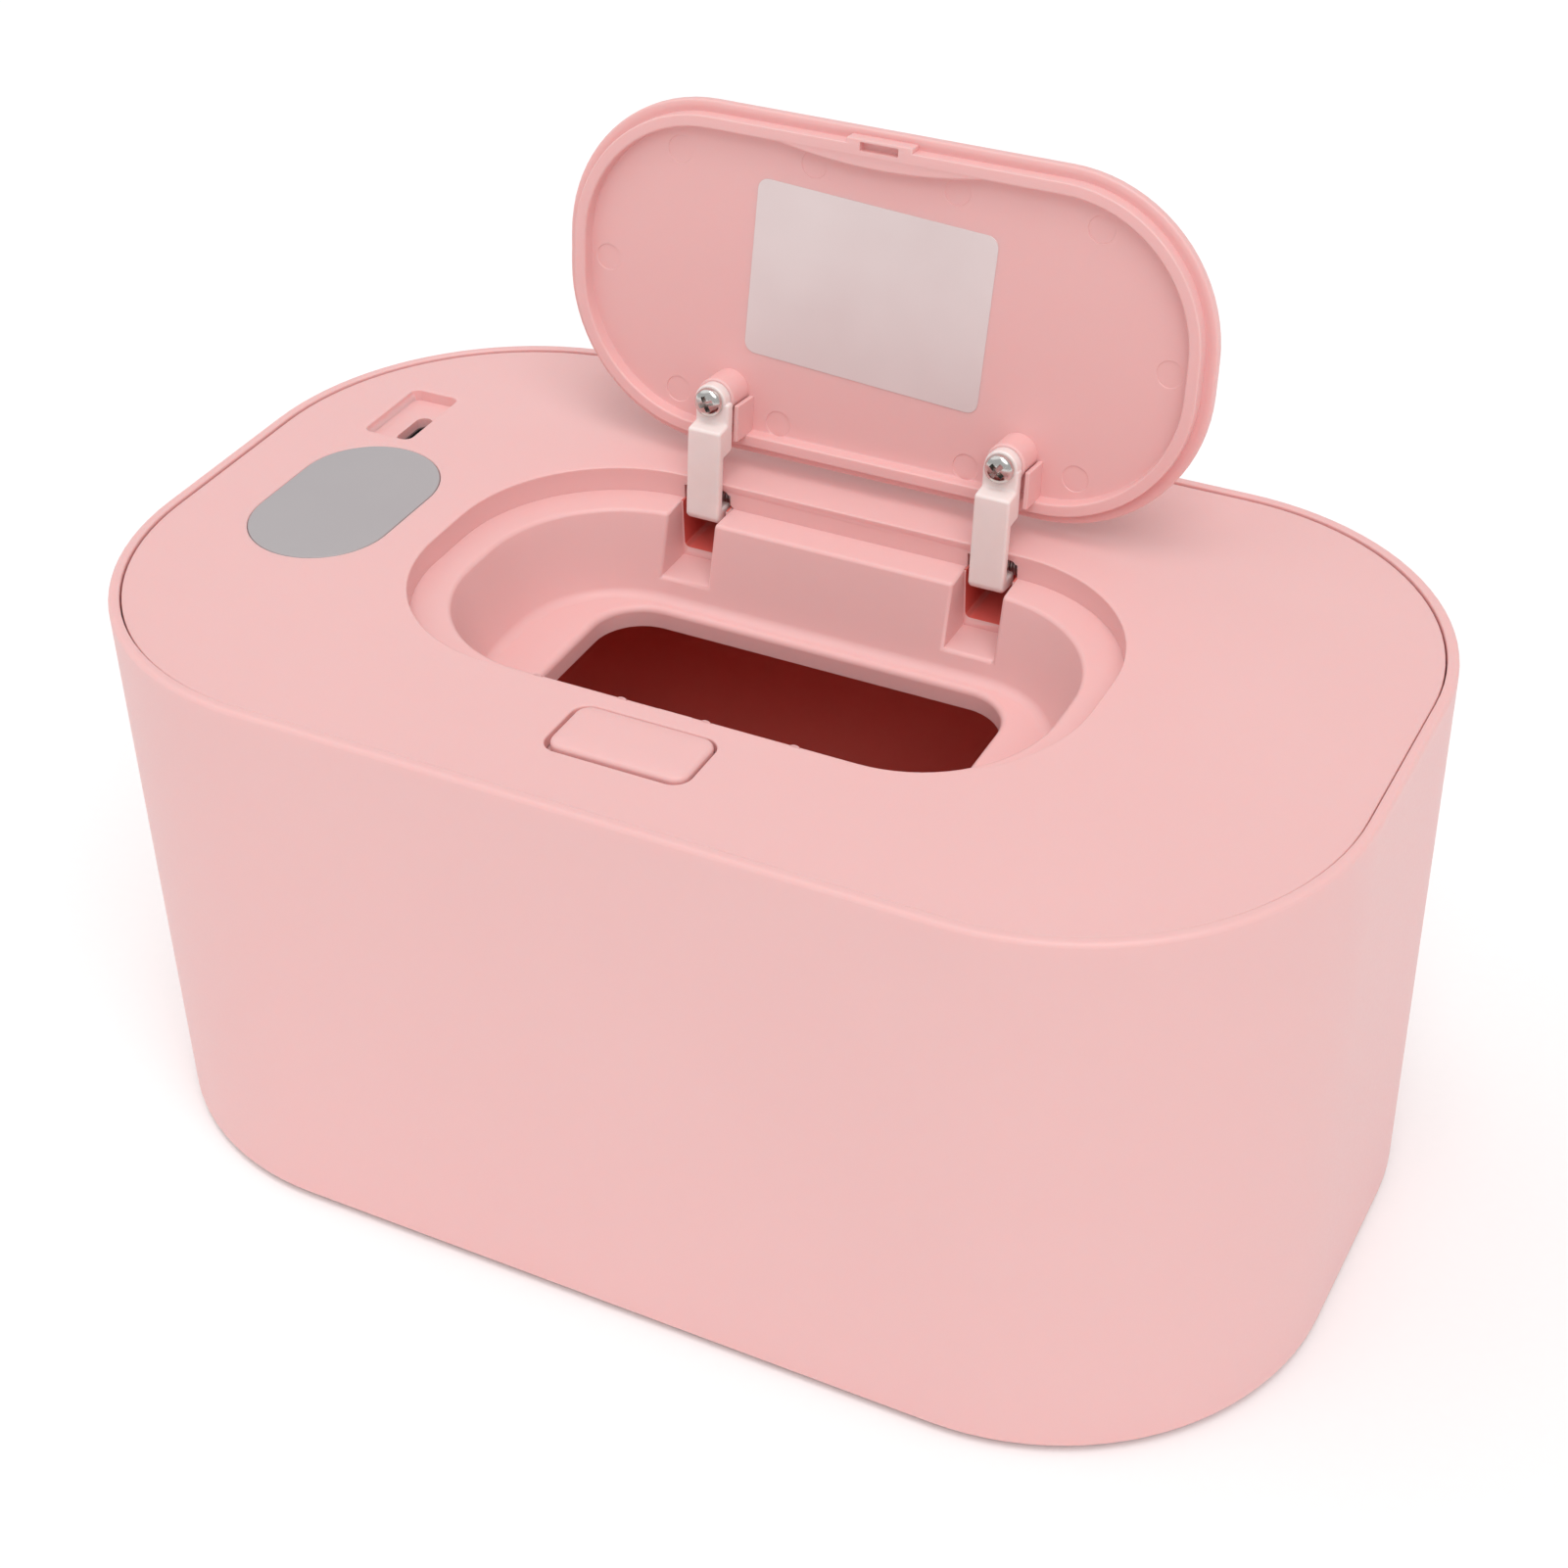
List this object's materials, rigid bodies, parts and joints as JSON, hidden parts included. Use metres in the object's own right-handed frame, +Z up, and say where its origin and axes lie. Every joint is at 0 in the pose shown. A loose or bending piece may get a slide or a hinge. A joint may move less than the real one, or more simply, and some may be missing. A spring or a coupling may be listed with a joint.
{
  "type": "baby wipe warmer",
  "caption": "Stadium-cornered box that warms wet wipes from above, with a lift-off heating cover, a sprung dispensing lid and an open button.",
  "frame": {"origin": "centre of the plane that the feet rest on", "axes": "+Z up, the front with the open button faces -Y, the length runs along X with the display window at -X"},
  "size_m": [0.22, 0.1318, 0.169],
  "materials": {
    "pink_shell": "satin moulded",
    "pink_tank": "satin moulded",
    "foot_rubber": "matte",
    "silicone": "matte translucent",
    "screw_steel": "nickel plated",
    "spring_steel": "drawn wire",
    "felt": "needled felt",
    "film": "polyimide film",
    "plate_aluminium": "rolled sheet",
    "fuse_ceramic": "moulded case",
    "black_epoxy": "cast epoxy",
    "lead_silicone": "silicone insulation",
    "circuit_board": "solder mask",
    "white_plastic": "moulded",
    "window_plastic": "satin grey",
    "arm_nylon": "translucent nylon",
    "sticker_film": "satin silver film"
  },
  "bodies": {
    "base": {"outer_shell": "pink_shell", "rubber_feet": "foot_rubber", "inner_tank": "pink_tank"},
    "cover": {"top_cover": "pink_shell", "cover_seal": "silicone", "cover_underplate": "pink_tank", "underplate_screws": "screw_steel", "heater_felt": "felt", "heater_film": "film", "heat_plate": "plate_aluminium", "heat_plate_screws": "screw_steel", "thermal_fuse": "fuse_ceramic", "temperature_sensor": "black_epoxy", "internal_leads": "lead_silicone", "control_board": "circuit_board", "board_screws": "screw_steel", "inlet_socket": "screw_steel", "display_module": "black_epoxy", "light_box": "white_plastic", "touch_springs": "spring_steel", "display_window": "window_plastic", "latch_bracket": "pink_tank", "bracket_screws": "screw_steel", "button_springs": "spring_steel", "torsion_springs": "spring_steel"},
    "lid": {"flip_lid": "pink_shell", "hinge_arm_left": "arm_nylon", "hinge_arm_right": "arm_nylon", "lid_screws": "screw_steel", "hinge_pins": "spring_steel", "lid_sticker": "sticker_film"},
    "button": {"open_button": "pink_shell"},
    "latch": {"latch_slider": "white_plastic"}
  },
  "joints": [
    {"name": "cover_lift", "type": "slide", "parent": "base", "child": "cover", "axis": [0, 0, 1], "range_m": [0, 0.06]},
    {"name": "lid_hinge", "type": "hinge", "parent": "cover", "child": "lid", "pos_m": [0, 0.0348, 0.1004], "axis": [1, 0, 0], "range_deg": [0, 97.3], "stiffness_Nm_per_rad": 0.0083, "springref_deg": -40.11},
    {"name": "button_press", "type": "slide", "parent": "cover", "child": "button", "axis": [0, 0, -1], "range_m": [0, 0.0015], "stiffness_N_per_m": 300, "deforming": ["button_springs"]},
    {"name": "latch_slide", "type": "slide", "parent": "cover", "child": "latch", "axis": [0, -1, 0], "range_m": [0, 0.0006]}
  ],
  "couplings": [
    {"joint": "latch_slide", "follows": "button_press", "ratio": 0.4}
  ]
}
